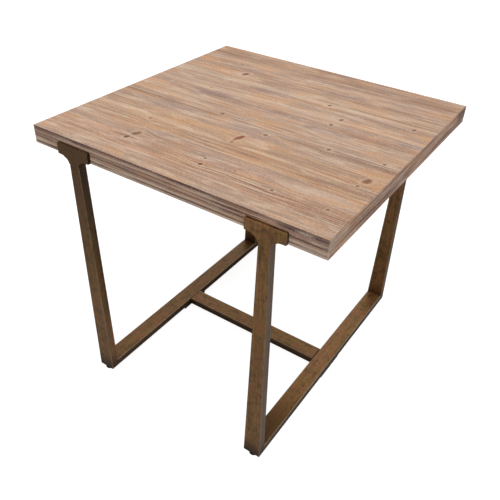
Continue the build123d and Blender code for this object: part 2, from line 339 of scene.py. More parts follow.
def add_lines(g, fibres, look, colour):
    """Crisp late-wood lines and rubbed-in lime, each in its own stretches of the board."""
    fineness = EDGE_FINENESS if look.edge else TOP_FINENESS
    dark_line = g.span(fibres.streaks(3.6, fineness, 2.0, 33.0, 0.4), 0.52, 0.63)
    in_stretches = g.span(fibres.streaks(2.4, 22.0, 1.0, 41.0), 0.4, 0.62, 0.2, 1.0)
    dark_line = g.times(dark_line, in_stretches)
    lime_line = g.span(fibres.streaks(5.0, fineness * 0.9, 2.0, 53.0, 0.4), 0.55, 0.66)
    in_stretches = g.span(fibres.streaks(4.0, 26.0, 1.0, 61.0), 0.42, 0.62, 0.1, 1.0)
    lime_line = g.times(lime_line, in_stretches)
    late_tone = EDGE_LATE_TONE if look.edge else LATE_TONE
    colour = g.mix(g.times(dark_line, look.lines), colour, late_tone)
    return g.mix(g.times(lime_line, 0.2 + 0.45 * look.lines), colour, LIME_TONE), dark_line


def add_end(g, fibres, look, colour):
    """The board's end grain, limed on an edge board and dark on a plank."""
    tone, most = (LIME_TONE, 0.5) if look.edge else (EDGE_BAND_TONE, 0.4)
    end = g.span(g.calc("ABSOLUTE", fibres.along), look.reach - END_FROM, look.reach - END_TO)
    end = g.times(end, g.span(fibres.clouds(20.0, 20.0, 43.0), 0.35, 0.6, 0.1, most))
    return g.mix(end, colour, tone)


def wood_material(name, look, grain="x"):
    """Brushed and limed softwood. grain says which way the fibres run, on a top or on an edge."""
    g = Graph(name)
    fibres = Fibres(g, look, grain)
    dark_mask, red_mask, ring_mask = place_knots(g, fibres, look.knots)
    fibres.wander()
    colour = ground_colour(g, fibres, look)
    colour = add_bands(g, fibres, look, colour)
    colour, dark_line = add_lines(g, fibres, look, colour)
    pore = g.span(fibres.streaks(38.0, PORE_FINENESS, 2.0, 21.0), 0.54, 0.74)
    colour = g.mix(g.times(pore, 0.3), colour, PORE_TONE)
    dust = g.noise(fibres.place, detail=3.0, roughness=0.65, scale=DUST_SCALE)
    colour = g.mix(g.span(dust, 0.5, 0.7, 0.0, 0.34), colour, LIME_TONE)
    colour = g.mix(g.span(dust, 0.5, 0.3, 0.0, 0.3), colour, PORE_TONE)
    colour = add_joints(g, fibres, look, colour)
    colour = add_end(g, fibres, look, colour)
    if look.knots:
        colour = g.mix(g.times(ring_mask, 0.34), colour, KNOT_RING)
        colour = g.mix(g.times(red_mask, 0.95), colour, KNOT_RED)
        colour = g.mix(g.times(dark_mask, 0.85), colour, KNOT_DARK)

    height = g.minus(g.times(dark_line, 0.4), g.times(pore, 0.35))
    height = g.minus(height, g.times(dark_mask, 0.5))
    return g.finish(
        Base_Color=colour,
        Roughness=g.add(0.58, g.times(dust, 0.2)),
        Normal=g.bump(height, GRAIN_RELIEF, 0.8),
        Specular_IOR_Level=0.3,
    )


# ======== looks of the boards ========
# Each stave's tones, smoke, lines, joint at its front edge, bands and knots, front to back.
STAVE_LOOKS = (
    (LIGHT_TAN, GREY_TAN, 0.3, 0.3, 0.0, (), ()),
    (
        ROSE_TAN, SHADE_TAN, 0.3, 1.0, 0.6,
        ((-330, 16, -100, 420, 0.4), (-312, 8, -180, -130, -0.7)),
        (
            (-185, -310, 9, 1.3, 0), (36, -312, 8, 1.0, 0),
            (222, -312, 7, 1.0, 0.3), (351, -308, 6, 1.1, 0.8),
        ),
    ),
    (
        PINK_TAN, GREY_TAN, 0.6, 0.45, 0.3,
        ((-262, 5, 130, 420, -0.4),),
        ((-179, -282, 13, 1.4, 0.5), (28, -284, 5, 1, 0.2), (92, -296, 4, 1, 0), (114, -291, 4, 1, 0)),
    ),
    (
        WARM_TAN, SHADE_TAN, 0.2, 0.75, 0.45,
        ((-212, 12, 40, 420, 0.45), (-207, 7, -225, -150, -0.5), (-232, 8, -310, -230, 0.45)),
        ((-211, -192, 8, 1.6, 0.5),),
    ),
    (
        WARM_TAN, SHADE_TAN, 0.15, 0.5, 0.5,
        ((-184, 4, -420, 420, -0.4), (-176, 8, -330, -250, -0.5)),
        (
            (366, -156, 13, 1.6, 0.35), (357, -187, 6, 1, 0.2),
            (29, -149, 11, 2.8, 0.95), (27, -180, 6, 1, 0),
        ),
    ),
    (
        LIGHT_TAN, GREY_TAN, 0.6, 0.5, 0.3,
        ((-74, 7, -420, -90, 0.75), (-86, 10, 110, 420, 0.65)),
        ((70, -98, 8, 1, 0.4), (-288, -74, 6, 1, 0), (229, -72, 8, 1.2, 0)),
    ),
    (
        LIGHT_TAN, GREY_TAN, 0.3, 0.4, 0.55,
        ((-5, 4, -100, 420, -0.4), (-62, 5, -420, -60, 0.4)),
        ((-86, -61, 7, 1.2, 0), (364, -61, 7, 1, 0)),
    ),
    (
        PINK_TAN, GREY_TAN, 0.85, 0.45, 0.5,
        ((32, 15, -210, 60, 0.7), (30, 15, 175, 420, 0.6), (68, 5, -420, 130, -0.4)),
        ((168, 54, 8, 1, 0), (-219, 68, 5, 1, 0.3)),
    ),
    (
        LIGHT_TAN, GREY_TAN, 0.55, 0.35, 0.5,
        ((141, 8, -120, 420, 0.55), (82, 4, -140, 420, -0.5), (161, 5, -420, 420, -0.45)),
        ((175, 97, 9, 1, 0), (349, 157, 7, 1.5, 0.3), (108, 165, 8, 1.5, 0)),
    ),
    (
        LIGHT_TAN, SHADE_TAN, 0.35, 0.45, 0.3,
        ((230, 5, -420, 420, 0.5), (174, 4, -420, 420, -0.5), (187, 5, 150, 420, 0.5)),
        ((-203, 216, 12, 1.7, 0.1),),
    ),
    (
        PINK_TAN, SHADE_TAN, 0.5, 0.45, 0.6,
        ((247, 8, -420, 420, 0.65), (318, 8, -420, 420, 0.4)),
        ((-258, 278, 6, 1.6, 0.6),),
    ),
    (
        WARM_TAN, RED_TAN, 0.55, 0.55, 0.3,
        ((338, 16, -420, 420, 0.65), (366, 14, -360, -180, 0.6), (370, 20, 270, 420, 0.6)),
        (),
    ),
)

# The bands of the edge boards, as in WoodLook, but with their places in millimetres below the top.
FRONT_BANDS = (
    (2.5, 4.2, -450, 450, 0.85),
    (8.5, 4.5, 290, 450, 0.95),
    (8.0, 3.0, 305, 450, 0.8),
    (11.5, 1.8, -450, 260, -0.75),
    (16.5, 1.6, -450, 450, 0.35),
    (20.5, 1.4, -450, 200, -0.45),
    (25.0, 2.2, -450, 450, 0.75),
    (33.5, 2.4, -450, 450, -0.75),
    (38.5, 2.0, -450, 450, 0.85),
    (43.0, 2.2, -450, 450, -0.7),
    (8.0, 2.4, 336, 368, -1.0),
    (2.0, 1.6, 354, 374, -0.8),
    (20.0, 2.4, 366, 408, -1.0),
)
SIDE_BANDS = (
    (8.0, 3.0, -330, 100, 0.3),
    (13.0, 2.0, -450, 450, -0.15),
    (19.0, 3.0, -450, 200, 0.25),
    (30.0, 2.4, -450, 450, 0.3),
    (36.0, 2.0, -450, 450, -0.15),
    (16.0, 22.0, 340, 450, 0.95),
    (12.0, 12.0, -450, -320, -0.6),
)
# How strongly late-wood lines and smoke show on the edge boards, and where their noise starts.
FRONT_LINES = 0.95
SIDE_LINES = 0.7
EDGE_SMOKE = 0.5
EDGE_SEED = 31.0
EDGE_SEED_STEP = 3.3
BATTEN_LOOK = WoodLook(61, rgb(196, 164, 126), rgb(160, 126, 92), smoke=0.1, lines=0.8)


# ======== metal, plastic ========
# The black and deep tones are both the patina's own dark marks and painted shade; the grey tone is a
# painted reflection, and the gold tone is painted shade.
BRONZE_BLACK_SPOTS_AND_SHADE = rgb(36, 26, 18)
BRONZE_PAINTED_REFLECTION = rgb(100, 94, 90)
BRONZE_PAINTED_SHADE = rgb(76, 54, 20)
BRONZE_DEEP_PATINA_AND_SHADE = rgb(78, 54, 30)
BRONZE_BROWN = rgb(160, 114, 74)
BRONZE_OLIVE = rgb(150, 116, 66)
BRONZE_OCHRE = rgb(172, 132, 80)
BRONZE_RUST = rgb(158, 98, 62)
BRONZE_RUBBED = rgb(182, 158, 126)

# The rim finish is painted shade; plain and rubbed are the bronze's own finish.
FINISHES = ("plain", "rubbed", "rim")
PLAIN, RUBBED, RIM_SHADE = range(3)

# Brush marks are long along the tube and fine across it.
BRUSH_ALONG = 8
BRUSH_ACROSS = {"x": 200, "y": 240, "z": 240}
# The other noises of the bronze: detail, roughness and scale.
BRONZE_NOISES = {
    "patch": (3.0, 0.6, 48.0),
    "mottle": (4.0, 0.6, 110.0),
    "spot": (1.0, 0.4, 130.0),
    "fleck": (2.0, 0.5, 420.0),
}
# Each layer: its noise, the range from start to end, the strengths there, and its tone.
BRONZE_LAYERS = (
    ("brushed", 0.34, 0.56, 0.5, 0.0, BRONZE_DEEP_PATINA_AND_SHADE),
    ("brushed", 0.54, 0.7, 0.0, 0.35, BRONZE_OCHRE),
    ("patch", 0.5, 0.66, 0.0, 0.5, BRONZE_RUST),
    ("patch", 0.5, 0.34, 0.0, 0.42, BRONZE_DEEP_PATINA_AND_SHADE),
    ("mottle", 0.52, 0.7, 0.0, 0.35, BRONZE_OCHRE),
    ("mottle", 0.46, 0.3, 0.0, 0.4, BRONZE_DEEP_PATINA_AND_SHADE),
    ("spot", 0.68, 0.74, 0.0, 0.4, BRONZE_BLACK_SPOTS_AND_SHADE),
    ("fleck", 0.58, 0.7, 0.0, 0.5, BRONZE_DEEP_PATINA_AND_SHADE),
)


def bronze_painted_light(g, axis, colour):
    """Painted light on the bronze: a painted grey reflection on the frames' outer faces, and painted
    shade that is darkest low down on upright ones, and also on the left legs and the rails.
    """
    x, y, z = g.coordinates()
    normal = g.node("ShaderNodeNewGeometry", {}).outputs["Normal"]
    facing_x, _, facing_z = g.node("ShaderNodeSeparateXYZ", {0: normal}).outputs
    inner_end = STRETCHER_HIGH.x
    # painted reflection: faces turned outwards from the frames are greyed, as if they mirrored a pale
    # surround
    outward_reflection = g.span(g.times(x, facing_x), 0.5 * inner_end, 0.9 * inner_end)
    colour = g.mix(g.times(outward_reflection, 0.55), colour, BRONZE_PAINTED_REFLECTION)
    # painted shade: upright faces low down near the floor are darkened towards black
    low = g.span(z, RAIL_HIGH.z + 50 * MM, RAIL_HIGH.z - 24 * MM)
    dark = g.times(g.times(low, g.span(facing_z, 0.9, 0.3)), 0.85)
    colour = g.mix(dark, colour, BRONZE_BLACK_SPOTS_AND_SHADE)
    if axis == "z":
        # painted shade: the left legs are darker towards the top, most of all on their inner faces
        left = g.span(x, 0.0, -0.2)
        high = g.span(z, 0.3 * TOP_Z, 0.9 * TOP_Z, 0.2, 0.7)
        colour = g.mix(g.times(left, high), colour, BRONZE_DEEP_PATINA_AND_SHADE)
        shade_under_top = g.span(z, 0.65 * TOP_Z, 0.9 * TOP_Z, 0.0, 0.6)
        inner_face_shade = g.times(g.span(facing_x, 0.6, 0.95), shade_under_top)
        colour = g.mix(g.times(left, inner_face_shade), colour, BRONZE_BLACK_SPOTS_AND_SHADE)
    if axis == "y":
        # painted shade: the right rail is darker towards its front foot, and the left rail all along
        shade_near_foot = g.span(y, -0.3 * HALF_Y, -0.85 * HALF_Y, 0.0, 0.75)
        colour = g.mix(g.times(g.span(x, 0.0, 0.2), shade_near_foot), colour, BRONZE_PAINTED_SHADE)
        colour = g.mix(g.span(x, 0.0, -0.2, 0.0, 0.35), colour, BRONZE_DEEP_PATINA_AND_SHADE)
    return colour


def bronze_seam_shade(g, colour):
    """Painted shade: dark lines where the stretcher's ends meet the rails, standing in for the shade
    in the gaps there.
    """
    x, y, _ = g.coordinates()
    apart = g.calc("ABSOLUTE", g.minus(g.calc("ABSOLUTE", x), STRETCHER_HIGH.x))
    half_width = STRETCHER_HIGH.y
    beside = g.span(g.calc("ABSOLUTE", y), half_width + 1 * MM, half_width - 1 * MM)
    seam_shade = g.times(g.span(apart, 2.0 * MM, 1.2 * MM), beside)
    return g.mix(g.times(seam_shade, 0.6), colour, BRONZE_BLACK_SPOTS_AND_SHADE)


def bronze_material(axis, finish):
    """Antique bronze on a tube along an axis: plain, rubbed bright on a ridge, or painted dark on a
    rim as shade; painted shade and a painted reflection are laid over all of them.
    """
    g = Graph(f"antique_bronze_{axis}_{finish}")
    x, y, z = g.coordinates()
    place = g.combine(x, y, z)
    across = BRUSH_ACROSS[axis]
    stretched = [
        g.times(value, BRUSH_ALONG if key == axis else across) for key, value in zip("xyz", (x, y, z))
    ]
    noises = {"brushed": g.noise(g.combine(*stretched), 3.0, 0.6)}
    for key, (detail, roughness, scale) in BRONZE_NOISES.items():
        noises[key] = g.noise(place, detail, roughness, scale)
    mottle = noises["mottle"]
    cloud = g.noise(place, detail=3.0, roughness=0.6, scale=22.0)
    colour = g.mix(g.span(cloud, 0.36, 0.64), BRONZE_BROWN, BRONZE_OLIVE)
    for key, start, end, at_start, at_end, tone in BRONZE_LAYERS:
        colour = g.mix(g.span(noises[key], start, end, at_start, at_end), colour, tone)

    colour = bronze_painted_light(g, axis, colour)
    # painted shade: the stretcher, which lies under the tabletop, is darker all over
    if axis == "x":
        colour = g.mix(0.22, colour, BRONZE_DEEP_PATINA_AND_SHADE)
    if finish == "rubbed":
        colour = g.mix(g.span(mottle, 0.3, 0.7, 0.2, 0.5), colour, BRONZE_RUBBED)
    # painted shade at the stretcher's ends
    if axis != "z":
        colour = bronze_seam_shade(g, colour)
    # painted shade: the rim faces are darkened towards black
    if finish == "rim":
        colour = g.mix(g.span(mottle, 0.3, 0.7, 0.9, 0.5), colour, BRONZE_BLACK_SPOTS_AND_SHADE)
    height = g.add(g.times(mottle, 0.6), g.times(noises["brushed"], 0.3))
    return g.finish(
        Base_Color=colour,
        Roughness=g.add(0.3, g.times(mottle, 0.26)),
        Normal=g.bump(height, 0.2 * MM, 0.5),
        Metallic=0.6,
        Specular_IOR_Level=0.5,
    )


def coated_material(name, tone, pale, roughness, metallic, scale, gloss):
    """A plain finish with a fine texture: powder coat, zinc or moulded nylon."""
    g = Graph(name)
    place = g.combine(*g.coordinates())
    grain = g.noise(place, detail=3.0, scale=scale)
    drift = g.noise(place, detail=2.0, scale=scale * 0.07)
    return g.finish(
        Base_Color=g.mix(g.span(drift, 0.35, 0.65), tone, pale),
        Roughness=g.add(roughness - 0.08, g.times(grain, 0.16)),
        Normal=g.bump(grain, 0.08 * MM, 0.5),
        Metallic=metallic,
        Specular_IOR_Level=gloss,
    )


# ======== mesh building ========
MERGE_DISTANCE = 0.001 * MM


def finish_piece(name, bm, materials, nodes=(), body=ROOT, smooth_angle=30):
    """Turns a bmesh into a piece with its materials, body and the nodes it replaces."""
    bmesh.ops.remove_doubles(bm, verts=bm.verts, dist=MERGE_DISTANCE)
    bmesh.ops.dissolve_degenerate(bm, edges=bm.edges, dist=MERGE_DISTANCE)
    bmesh.ops.recalc_face_normals(bm, faces=bm.faces)
    mesh = bpy.data.meshes.new(name)
    bm.to_mesh(mesh)
    bm.free()
    mesh.shade_smooth()
    mesh.set_sharp_from_angle(angle=math.radians(smooth_angle))
    for material in materials:
        mesh.materials.append(material)
    piece = bpy.data.objects.new(name, mesh)
    bpy.context.scene.collection.objects.link(piece)
    piece.modifiers.new("weighted_normals", "WEIGHTED_NORMAL").keep_sharp = True
    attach(piece, body)
    if nodes:
        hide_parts(*nodes)
    return piece


def loft_rings(rings):
    """A closed skin over equal rings of points, capped at both ends."""
    bm = bmesh.new()
    rows = [[bm.verts.new(point) for point in ring] for ring in rings]
    count = len(rows[0])
    for low, high in zip(rows, rows[1:]):
        for i in range(count):
            j = (i + 1) % count
            bm.faces.new((low[i], low[j], high[j], high[i]))
    bm.faces.new(rows[0])
    bm.faces.new(list(reversed(rows[-1])))
    return bm


def quarter_round(radius, start=45, steps=3):
    """(inset, drop) pairs along a rounded edge, from the mitre at start degrees to its end."""
    pairs = []
    for i in range(steps + 1):
        angle = math.radians(start + (90 - start) * i / steps)
        pairs.append((radius * (1 - math.cos(angle)), radius * (1 - math.sin(angle))))
    return pairs


def even_steps(start, end, pitch):
    """Evenly spaced values strictly between start and end."""
    count = max(1, round((end - start) / pitch))
    return [start + (end - start) * i / count for i in range(1, count)]


# ======== wooden top ========
# A joint groove's (share of the half width, share of the depth), from its bottom outwards.
GROOVE_PROFILE = ((0.0, 1.0), (0.25, 0.4), (0.6, 0.1), (1.0, 0.0))
# The spacing of mesh points, across and along a plank and down an edge board.
ACROSS_PITCH = 5 * MM
ALONG_PITCH = 12 * MM
EDGE_PITCH = 3 * MM
# Along an edge board, the spacing is a share of its half length.
EDGE_SHARE_PITCH = 0.03
# How fast the noise of the surfaces changes: along and across a plank, along and down an edge.
SWELL_ALONG, SWELL_ACROSS, SWELL_STEP = 6, 60, 5.0
RELIEF_ALONG, RELIEF_DOWN = 3, 190


def stave_profile(low_y, high_y, outer_low, outer_high):
    """(y, drop) across a stave's top face: grooved at a joint, rounded at the table's edge."""
    arris = quarter_round(ARRIS)
    groove = [
        (JOINT_GROOVE_HALF_WIDTH * out, JOINT_GROOVE_DEPTH * down) for out, down in GROOVE_PROFILE
    ]
    low = arris if outer_low else groove
    high = arris if outer_high else groove
    points = [(low_y + inset, drop) for inset, drop in low]
    flat_low, flat_high = low_y + low[-1][0], high_y - high[-1][0]
    points += [(y, 0.0) for y in even_steps(flat_low, flat_high, ACROSS_PITCH)]
    points += [(high_y - inset, drop) for inset, drop in reversed(high)]
    return points


def stave_stations():
    """(x at the top, drop) along a stave, rounded at both ends."""
    arris = quarter_round(ARRIS)
    half = [(HALF_X - inset, drop) for inset, drop in arris]
    inner = half[-1][0]
    middle = [(x, 0.0) for x in even_steps(-inner, inner, ALONG_PITCH)]
    return [(-x, drop) for x, drop in half] + middle + [(x, drop) for x, drop in reversed(half)]


def make_stave(node, index):
    """One plank of the top, with its own wood."""
    low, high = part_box(node)
    outer_low = index == 0
    outer_high = index == len(STAVES) - 1
    profile = stave_profile(low.y, high.y, outer_low, outer_high)
    base_low = low.y + BOARD if outer_low else low.y
    base_high = high.y - BOARD if outer_high else high.y
    rings = []
    for x, end_drop in stave_stations():
        ring = []
        for y, drop in profile:
            level = max(drop, end_drop)
            if level == 0.0:
                place = Vector((x * SWELL_ALONG, y * SWELL_ACROSS, index * SWELL_STEP))
                level = PLANK_SWELL - noise.noise(place) * PLANK_SWELL
            ring.append((x, y, TOP_Z - level))
        base_x = x * (HALF_X - BOARD) / (HALF_X - ARRIS * (1 - math.sqrt(0.5)))
        ring += [(base_x, base_high, PANEL_BOTTOM), (base_x, base_low, PANEL_BOTTOM)]
        rings.append(ring)
    light, dark, smoke, lines, joint, bands, knots = STAVE_LOOKS[index]
    next_joint = STAVE_LOOKS[index + 1][4] if index + 1 < len(STAVES) else 0.0
    joints = ((low.y / MM, joint), (high.y / MM, next_joint))
    look = WoodLook(index + 1, light, dark, smoke, lines, joints, bands, knots, HALF_X)
    material = wood_material(f"plank_wood_{index + 1:02d}", look)
    finish_piece(f"plank_{index + 1:02d}", loft_rings(rings), [material], [node])


def edge_section():
    """(depth behind the outer face, z) round an edge board's section: outer side, inner side."""
    arris = quarter_round(ARRIS)
    upper = [(inset, TOP_Z - drop) for drop, inset in arris]
    lower = [(inset, UNDERSIDE + drop) for drop, inset in reversed(quarter_round(ARRIS, 0))]
    levels = even_steps(UNDERSIDE + ARRIS, TOP_Z - ARRIS, EDGE_PITCH)
    face = [(0.0, z) for z in reversed(levels)]
    return upper + face + lower, [(BOARD, UNDERSIDE), (BOARD, PANEL_BOTTOM)]


def make_edge_board(name, seed):
    """One mitred board, drawn along X at the front and turned to its side of the table."""
    along_x = name in ("front", "back")
    half_length = HALF_X if along_x else HALF_Y
    reach = HALF_Y if along_x else HALF_X
    turn = {"front": 0, "right": 90, "back": 180, "left": 270}[name]
    cos, sin = round(math.cos(math.radians(turn))), round(math.sin(math.radians(turn)))
    outer, inner = edge_section()
    corner = quarter_round(ARRIS)
    ends = [(1 - (inset - corner[0][0]) / half_length, drop) for inset, drop in corner]
    shares = even_steps(-ends[-1][0], ends[-1][0], EDGE_SHARE_PITCH)
    middle = [(share, 0.0) for share in reversed(shares)]
    stations = ends + middle + [(-share, drop) for share, drop in reversed(ends)]
    rings = []
    for share, sink in stations:
        ring = []
        for depth, z in outer:
            depth = max(depth, sink)
            if depth == 0.0:
                place = Vector((share * RELIEF_ALONG, z * RELIEF_DOWN, seed))
                depth = EDGE_RELIEF * (0.5 + 0.5 * noise.noise(place))
            ring.append((share * (half_length - depth), -reach + depth, z))
        for depth, z in inner:
            ring.append((share * (half_length - depth), -reach + depth, z))
        rings.append([(x * cos - y * sin, x * sin + y * cos, z) for x, y, z in ring])
    drops = FRONT_BANDS if along_x else SIDE_BANDS
    bands = [(TOP_Z / MM - drop, *band) for drop, *band in drops]
    lines = FRONT_LINES if along_x else SIDE_LINES
    look = WoodLook(
        seed, EDGE_LIGHT, EDGE_DARK, EDGE_SMOKE, lines, bands=bands, reach=half_length, edge=True
    )
    grain = "edge_x" if along_x else "edge_y"
    material = wood_material(f"edge_wood_{name}", look, grain)
    finish_piece(
        f"edge_{name}", loft_rings(rings), [material], [f"edge_board_{name}"]
    )


# ======== steel frames ========
def leg_share(z):
    """0 at the leg's foot, 1 at the underside of the edge board."""
    return (z - RAIL_LOW.z) / (UNDERSIDE - RAIL_LOW.z)


def leg_face(z):
    """Distance of the leg's outer face from the middle of the table, along Y."""
    return FACE_FOOT + (FACE_TOP - FACE_FOOT) * leg_share(z)


def leg_edges(z):
    """(inner, outer) x of a right leg at height z."""
    share = leg_share(z)
    centre = LEG_CENTRE_FOOT + (LEG_CENTRE_TOP - LEG_CENTRE_FOOT) * share
    half = (LEG_WIDTH_FOOT + (LEG_WIDTH_TOP - LEG_WIDTH_FOOT) * share) / 2
    return centre - half, centre + half


def arc(centre_x, centre_z, radius, start, sweep, steps):
    """(x, z) points along an arc, with its angles in degrees from the X axis."""
    points = []
    for i in range(steps + 1):
        angle = math.radians(start + sweep * i / steps)
        points.append((centre_x + radius * math.cos(angle), centre_z + radius * math.sin(angle)))
    return points


def t_head_outline():
    """(x, z) of the T head and its fillets, from the right fillet's foot round to the left's."""
    centre = LEG_CENTRE_TOP
    wide = (T_HIGH.x - T_LOW.x) / 2
    head_top = T_HIGH.z
    head_bottom = head_top - T_HEAD_HEIGHT
    waist = head_bottom - T_FILLET
    half = leg_edges(waist)[1] - centre
    corner_x = wide - T_CORNER
    right = arc(half + T_FILLET, waist, T_FILLET, 180, -90, 8)
    right += arc(corner_x, head_bottom + T_CORNER, T_CORNER, -90, 90, 4)
    right += arc(corner_x, head_top - T_CORNER, T_CORNER, 0, 90, 4)
    left = [(-x, z) for x, z in reversed(right)]
    return [(centre + x, z) for x, z in right + left]


def make_leg(end_name, side_name, materials):
    """A tapered leg with its T head as one welded and dressed piece."""
    bm = bmesh.new()
    side, end = SIDES[side_name], ENDS[end_name]

    def vert(x, face_y, z):
        return bm.verts.new((side * x, end * face_y, z))

    slope = (RAIL_HIGH.z - RAIL_LOW.z) / LEG_DEPTH

    def foot(x, inward):
        return vert(x, FACE_FOOT - inward, RAIL_LOW.z + inward * slope)

    foot_edges = leg_edges(RAIL_LOW.z)
    outline = t_head_outline()
    top_edges = leg_edges(LEG_TOP)
    slab = FACE_FOOT - HALF_Y
    front = [foot(foot_edges[0], 0.0), foot(foot_edges[1], 0.0)]
    front += [vert(x, leg_face(z), z) for x, z in outline]
    middle = [foot(foot_edges[0], slab), foot(foot_edges[1], slab)]
    middle += [vert(x, HALF_Y, z) for x, z in outline]
    top_middle = [vert(x, HALF_Y, LEG_TOP) for x in top_edges]
    back_foot = [foot(x, LEG_DEPTH) for x in foot_edges]
    waist_z = outline[0][1]
    back_waist = [vert(x, leg_face(waist_z) - LEG_DEPTH, waist_z) for x in leg_edges(waist_z)]
    back_top = [vert(x, leg_face(LEG_TOP) - LEG_DEPTH, LEG_TOP) for x in top_edges]

    def face(*verts):
        return bm.faces.new(verts)

    last = len(front) - 1
    face(*front)
    for i in range(len(front)):
        j = (i + 1) % len(front)
        side_face = face(front[i], middle[i], middle[j], front[j])
        # the T head's side faces take the rim finish, which is painted shade
        side_face.material_index = PLAIN if i in (0, 1, last) else RIM_SHADE
    face(*middle[2:], top_middle[0], top_middle[1])
    face(middle[1], back_foot[1], back_waist[1], middle[2])
    face(middle[2], back_waist[1], back_top[1], top_middle[1])
    face(middle[0], middle[last], back_waist[0], back_foot[0])
    face(middle[last], top_middle[0], back_top[0], back_waist[0])
    face(top_middle[0], top_middle[1], back_top[1], back_top[0])
    face(middle[0], back_foot[0], back_foot[1], middle[1])
    face(back_foot[0], back_waist[0], back_waist[1], back_foot[1])
    face(back_waist[0], back_top[0], back_top[1], back_waist[1])

    rounded = []
    for i in range(1, len(front)):
        rounded.append(bm.edges.get((front[i], front[(i + 1) % len(front)])))
    for i in (0, 1):
        rounded.append(bm.edges.get((back_foot[i], back_waist[i])))
        rounded.append(bm.edges.get((back_waist[i], back_top[i])))
    for strip in round_edges(bm, rounded, METAL_ROUND):
        strip.material_index = RUBBED if strip.calc_center_median().z < waist_z else PLAIN
    corner = f"{end_name}_{side_name}"
    nodes = [f"leg_{corner}", f"t_plate_{corner}"]
    finish_piece(f"frame_leg_{corner}", bm, materials, nodes)


def round_edges(bm, edges, radius, segments=4):
    """Rounds the edges and gives the new faces."""
    made = bmesh.ops.bevel(
        bm,
        geom=edges,
        offset=radius,
        segments=segments,
        profile=0.5,
        affect="EDGES",
        clamp_overlap=True,
    )
    return made["faces"]


def make_bar(name, setback, low, high, axis, materials, nodes):
    """A rectangular tube along an axis. Its top is shorter than its bottom by setback at each end."""
    bm = bmesh.new()
    across = 1 - axis
    corners = []
    for sign in (-1, 1):
        for z, inset in ((low.z, 0.0), (high.z, setback)):
            for side in (low[across], high[across]):
                point = [0.0, 0.0, z]
                point[axis] = sign * (high[axis] - inset)
                point[across] = side
                corners.append(bm.verts.new(point))
    a, b, c, d, e, f, g, h = corners
    for face in ((a, b, d, c), (e, g, h, f), (a, e, f, b), (c, d, h, g), (a, c, g, e), (b, f, h, d)):
        bm.faces.new(face)
    long_edges = [bm.edges.get(pair) for pair in ((a, e), (b, f), (c, g), (d, h))]
    for strip in round_edges(bm, long_edges, METAL_ROUND):
        strip.material_index = RUBBED
    finish_piece(name, bm, materials, nodes)


# ======== levelling feet ========
# A glide's arris, then its side from the bottom and its crown from the top, as (inset, distance).
GLIDE_ARRIS = 1.2 * MM
GLIDE_SIDE = ((0.0, 3.2), (0.5, 3.5), (0.6, 4.0), (0.2, 4.4))
GLIDE_CROWN = ((0.4, 2.0), (2.0, 0.4), (2.6, 0.0))
GLIDE_SEGMENTS = 48

THREAD_LEAD = 1.25 * MM
THREAD_DEPTH = 0.6 * MM
THREAD_CLEARANCE = 0.03 * MM
THREAD_RUN_OUT = 1.5 * MM
THREAD_SEGMENTS = 24
RINGS_PER_TURN = 6


def ring_points(centre, radii, z):
    """A ring at height z about a vertical axis, with one radius for each of its points."""
    ring = []
    for i, radius in enumerate(radii):
        angle = 2 * math.pi * i / len(radii)
        ring.append((centre.x + radius * math.cos(angle), centre.y + radius * math.sin(angle), z))
    return ring


def make_foot(corner, pad_material, stem_material):
    """A glide and its stud, which move together."""
    low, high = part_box(f"foot_pad_{corner}")
    centre = (low + high) / 2
    radius = (high.x - low.x) / 2
    arris = quarter_round(GLIDE_ARRIS, 0, 4)
    profile = [(radius - inset, low.z + rise) for rise, inset in arris]
    profile += [(radius - inset * MM, low.z + rise * MM) for inset, rise in GLIDE_SIDE]
    profile += [(radius - inset * MM, high.z - drop * MM) for inset, drop in GLIDE_CROWN]
    rings = [ring_points(centre, [r] * GLIDE_SEGMENTS, z) for r, z in profile]
    body = f"foot_{corner}"
    finish_piece(
        f"glide_{corner}", loft_rings(rings), [pad_material],
        [f"foot_pad_{corner}"], body,
    )
    make_threaded_stem(corner, stem_material, body)


def make_threaded_stem(corner, material, body):
    """A stud with a true helical thread that runs out at its top."""
    low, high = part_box(f"foot_stem_{corner}")
    centre = (low + high) / 2
    crest = (high.x - low.x) / 2 - THREAD_CLEARANCE
    height = high.z - low.z
    count = int(height / (THREAD_LEAD / RINGS_PER_TURN))
    rings = []
    for k in range(count + 1):
        z = low.z + height * k / count
        taper = min(1.0, (high.z - z) / THREAD_RUN_OUT)
        radii = []
        for i in range(THREAD_SEGMENTS):
            phase = (z / THREAD_LEAD - i / THREAD_SEGMENTS) % 1.0
            tooth = abs(2 * phase - 1)
            radii.append(crest - THREAD_DEPTH * (1 - tooth * taper))
        rings.append(ring_points(centre, radii, z))
    finish_piece(
        f"stud_{corner}", loft_rings(rings), [material],
        [f"foot_stem_{corner}"], body, 50,
    )


# ======== carried-over CAD nodes ========
def dress_node(name, material, edge=0.0):
    """A CAD node keeps its shape and gets a material, and a small eased edge if edge is given."""
    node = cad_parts[name]
    node.data.materials.clear()
    node.data.materials.append(material)
    if edge:
        bevel = node.modifiers.new("eased_edges", "BEVEL")
        bevel.width = edge
        bevel.segments = 2
        bevel.limit_method = "ANGLE"
        bevel.angle_limit = math.radians(40)


# ======== scene ========
CAMERA_AZIMUTH = 32.43
CAMERA_ELEVATION = 36.12
CAMERA_ROLL = 2.57
CAMERA_LENS = 42.93
CAMERA_FROM_TOP = Vector((0.7617, -1.2347, 0.6244))

STAGE_RADIUS = 16.0
STAGE_WHITE = (1.0, 1.0, 1.0, 1.0)
# Each floor: its name, height, albedo, glow, and whether the camera sees it.
FLOORS = (
    ("floor", 0.0, 0.28, 0.9, True),
    ("floor_bounce", -0.5 * MM, 0.4, 0.0, False),
)
DOME_GLOW = 1.1

